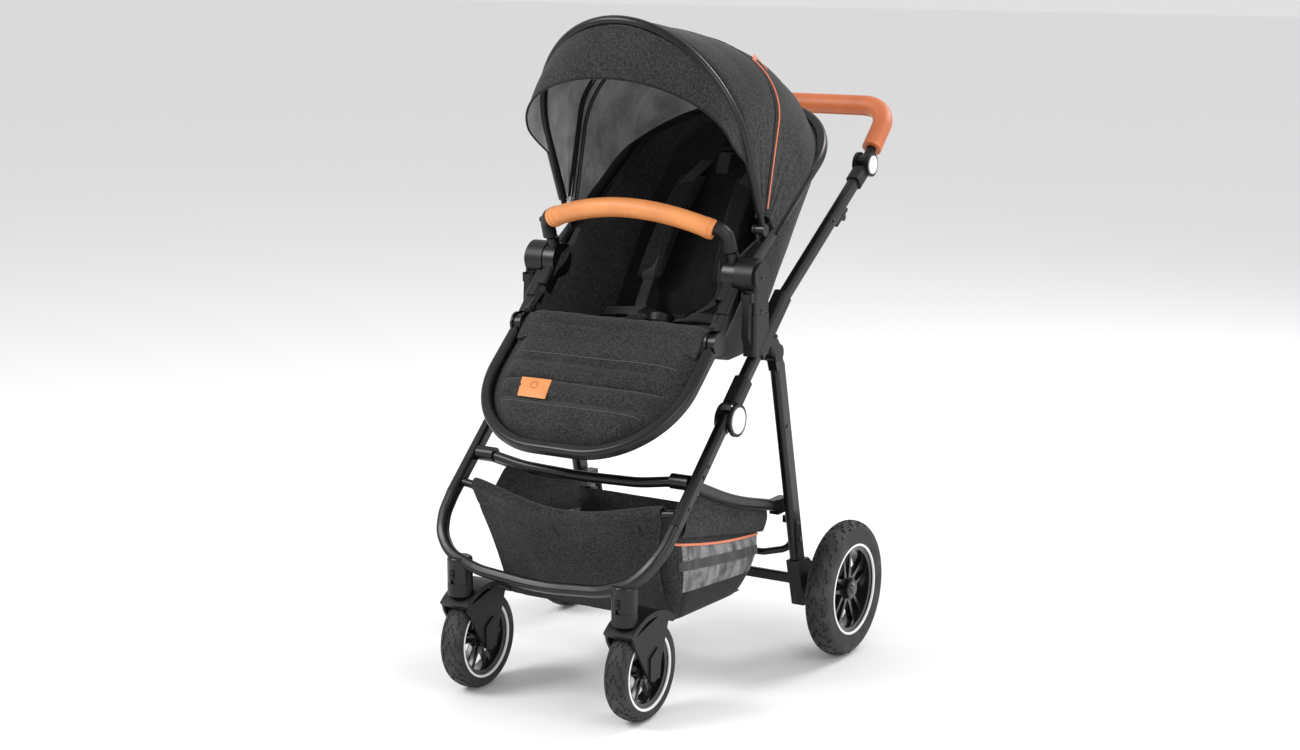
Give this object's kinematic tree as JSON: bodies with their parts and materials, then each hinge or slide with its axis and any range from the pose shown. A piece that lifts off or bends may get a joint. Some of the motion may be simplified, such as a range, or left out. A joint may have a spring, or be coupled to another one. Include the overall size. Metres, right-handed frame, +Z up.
{
  "type": "baby stroller",
  "caption": "Four-wheeled folding baby stroller with canopy, reclining seat, bumper bar, shopping basket and swivelling front wheels.",
  "frame": {"origin": "on the floor under the middle of the whole object", "axes": "+Z up, the stroller faces -Y, its own left side is +X"},
  "size_m": [0.6136, 0.862, 1.1037],
  "materials": {
    "frame_tube": "satin black coated aluminium tube",
    "black_plastic": "fine grained black moulding",
    "white_plastic": "smooth white moulding",
    "rim": "glossy black rim with a white ring",
    "tyre": "soft black foam-filled rubber",
    "leather": "tan leatherette",
    "seat_fabric": "charcoal melange",
    "webbing": "black webbing and padded covers",
    "canopy_fabric": "charcoal melange with a silver lining",
    "basket_fabric": "black cloth and mesh"
  },
  "bodies": {
    "front_frame": {"left_front_leg": "frame_tube", "right_front_leg": "frame_tube", "front_crossbar": "frame_tube", "basket_front_tube": "frame_tube"},
    "upper_frame": {"left_upper_tube": "frame_tube", "right_upper_tube": "frame_tube", "left_sleeve": "black_plastic", "right_sleeve": "black_plastic", "left_fold_joint": "black_plastic", "right_fold_joint": "black_plastic", "left_handle_joint": "black_plastic", "right_handle_joint": "black_plastic", "fold_joint_caps": "white_plastic"},
    "rear_frame": {"left_rear_leg": "frame_tube", "right_rear_leg": "frame_tube", "brake_bar": "frame_tube", "rear_cross_tube": "frame_tube"},
    "brake_pedal": {"brake_pedal": "black_plastic"},
    "basket": {"basket_frame": "frame_tube", "basket": "basket_fabric"},
    "handle": {"handle_bar": "frame_tube", "handle_grip": "leather"},
    "seat_adapters": {"left_seat_adapter": "black_plastic", "right_seat_adapter": "black_plastic"},
    "seat": {"left_seat_rail": "frame_tube", "right_seat_rail": "frame_tube", "seat_cushion": "seat_fabric", "harness_buckle": "black_plastic"},
    "backrest": {"backrest_frame": "frame_tube", "backrest_cushion": "seat_fabric", "harness_straps": "webbing", "canopy_rear_panel": "canopy_fabric"},
    "calf_rest": {"calf_frame": "frame_tube", "leg_cover": "seat_fabric"},
    "buckle_button": {"buckle_button": "black_plastic"},
    "bumper": {"bumper_bar": "frame_tube", "bumper_cover": "leather"},
    "canopy_front": {"canopy_front_bow": "frame_tube", "canopy_front_panel": "canopy_fabric"},
    "canopy_middle": {"canopy_mid_bow": "frame_tube", "canopy_middle_panel": "canopy_fabric"},
    "left_caster": {"left_caster_fork": "black_plastic"},
    "left_swivel_lock": {"left_swivel_lock": "black_plastic"},
    "left_front_wheel": {"left_front_rim": "rim", "left_front_tyre": "tyre"},
    "left_rear_wheel": {"left_rear_rim": "rim", "left_rear_tyre": "tyre"},
    "left_fold_trigger": {"left_fold_trigger": "black_plastic"},
    "left_handle_button": {"left_handle_button": "white_plastic"},
    "left_release_flap": {"left_release_flap": "black_plastic"},
    "right_caster": {"right_caster_fork": "black_plastic"},
    "right_swivel_lock": {"right_swivel_lock": "black_plastic"},
    "right_front_wheel": {"right_front_rim": "rim", "right_front_tyre": "tyre"},
    "right_rear_wheel": {"right_rear_rim": "rim", "right_rear_tyre": "tyre"},
    "right_fold_trigger": {"right_fold_trigger": "black_plastic"},
    "right_handle_button": {"right_handle_button": "white_plastic"},
    "right_release_flap": {"right_release_flap": "black_plastic"}
  },
  "joints": [
    {"name": "chassis_fold", "type": "hinge", "parent": "front_frame", "child": "upper_frame", "pos_m": [0, -0.16, 0.462], "axis": [1, 0, 0], "range_deg": [0, 75]},
    {"name": "rear_leg_fold", "type": "hinge", "parent": "upper_frame", "child": "rear_frame", "pos_m": [0, -0.018, 0.55], "axis": [1, 0, 0], "range_deg": [-28.6, 0]},
    {"name": "basket_fold", "type": "hinge", "parent": "front_frame", "child": "basket", "pos_m": [0, -0.271, 0.3785], "axis": [1, 0, 0], "range_deg": [0, 39.1]},
    {"name": "seat_lift_off", "type": "slide", "parent": "upper_frame", "child": "seat_adapters", "axis": [0, 0, 1], "range_m": [0, 0.12]},
    {"name": "seat_swing", "type": "hinge", "parent": "seat_adapters", "child": "seat", "pos_m": [0, -0.077, 0.684], "axis": [1, 0, 0], "range_deg": [-76, 0]},
    {"name": "backrest_recline", "type": "hinge", "parent": "seat", "child": "backrest", "pos_m": [0, -0.077, 0.684], "axis": [1, 0, 0], "range_deg": [-25, 0]},
    {"name": "calf_rest_tilt", "type": "hinge", "parent": "seat", "child": "calf_rest", "pos_m": [0, -0.1677, 0.58536], "axis": [1, 0, 0], "range_deg": [-45, 0]},
    {"name": "bumper_pull_off", "type": "slide", "parent": "seat", "child": "bumper", "axis": [0, -0.309, 0.9511], "range_m": [0, 0.03]},
    {"name": "canopy_fold", "type": "hinge", "parent": "backrest", "child": "canopy_front", "pos_m": [0, -0.017, 0.753], "axis": [1, 0, 0], "range_deg": [-60, 0]},
    {"name": "canopy_middle_fold", "type": "hinge", "parent": "backrest", "child": "canopy_middle", "pos_m": [0, -0.017, 0.753], "axis": [1, 0, 0], "range_deg": [-31, 0]},
    {"name": "handle_tilt", "type": "hinge", "parent": "upper_frame", "child": "handle", "pos_m": [0, 0.313, 0.834], "axis": [1, 0, 0], "range_deg": [-60, 30]},
    {"name": "buckle_button_press", "type": "slide", "parent": "seat", "child": "buckle_button", "axis": [0, -0.342, -0.9397], "range_m": [0, 0.0015], "stiffness_N_per_m": 400},
    {"name": "brake_pedal_press", "type": "hinge", "parent": "rear_frame", "child": "brake_pedal", "pos_m": [0, 0.112, 0.14], "axis": [1, 0, 0], "range_deg": [-20, 0]},
    {"name": "left_caster_swivel", "type": "hinge", "parent": "front_frame", "child": "left_caster", "pos_m": [0.159, -0.393, 0.2], "axis": [0, 0, 1], "continuous": true},
    {"name": "left_front_wheel_spin", "type": "hinge", "parent": "left_caster", "child": "left_front_wheel", "pos_m": [0.159, -0.347, 0.084], "axis": [1, 0, 0], "continuous": true},
    {"name": "left_rear_wheel_spin", "type": "hinge", "parent": "rear_frame", "child": "left_rear_wheel", "pos_m": [0.283, 0.125, 0.119], "axis": [1, 0, 0], "continuous": true},
    {"name": "left_swivel_lock_slide", "type": "slide", "parent": "front_frame", "child": "left_swivel_lock", "axis": [0, 0, -1], "range_m": [0, 0.006]},
    {"name": "left_fold_trigger_slide", "type": "slide", "parent": "upper_frame", "child": "left_fold_trigger", "axis": [0, 0.8368, 0.5476], "range_m": [0, 0.012], "stiffness_N_per_m": 300},
    {"name": "left_handle_button_press", "type": "slide", "parent": "upper_frame", "child": "left_handle_button", "axis": [-1, 0, 0], "range_m": [0, 0.0022], "stiffness_N_per_m": 600},
    {"name": "left_release_flap_lift", "type": "hinge", "parent": "seat_adapters", "child": "left_release_flap", "pos_m": [0.215, -0.106, 0.655], "axis": [1, 0, 0], "range_deg": [-35, 0], "stiffness_Nm_per_rad": 0.5},
    {"name": "right_caster_swivel", "type": "hinge", "parent": "front_frame", "child": "right_caster", "pos_m": [-0.159, -0.393, 0.2], "axis": [0, 0, 1], "continuous": true},
    {"name": "right_front_wheel_spin", "type": "hinge", "parent": "right_caster", "child": "right_front_wheel", "pos_m": [-0.159, -0.347, 0.084], "axis": [1, 0, 0], "continuous": true},
    {"name": "right_rear_wheel_spin", "type": "hinge", "parent": "rear_frame", "child": "right_rear_wheel", "pos_m": [-0.283, 0.125, 0.119], "axis": [1, 0, 0], "continuous": true},
    {"name": "right_swivel_lock_slide", "type": "slide", "parent": "front_frame", "child": "right_swivel_lock", "axis": [0, 0, -1], "range_m": [0, 0.006]},
    {"name": "right_fold_trigger_slide", "type": "slide", "parent": "upper_frame", "child": "right_fold_trigger", "axis": [0, 0.8368, 0.5476], "range_m": [0, 0.012], "stiffness_N_per_m": 300},
    {"name": "right_handle_button_press", "type": "slide", "parent": "upper_frame", "child": "right_handle_button", "axis": [1, 0, 0], "range_m": [0, 0.0022], "stiffness_N_per_m": 600},
    {"name": "right_release_flap_lift", "type": "hinge", "parent": "seat_adapters", "child": "right_release_flap", "pos_m": [-0.215, -0.106, 0.655], "axis": [1, 0, 0], "range_deg": [-35, 0], "stiffness_Nm_per_rad": 0.5}
  ],
  "couplings": [
    {"joint": "rear_leg_fold", "follows": "chassis_fold", "ratio": -0.368},
    {"joint": "basket_fold", "follows": "chassis_fold", "ratio": 0.508},
    {"joint": "seat_swing", "follows": "chassis_fold", "ratio": -1},
    {"joint": "canopy_middle_fold", "follows": "canopy_fold", "ratio": 0.5}
  ]
}
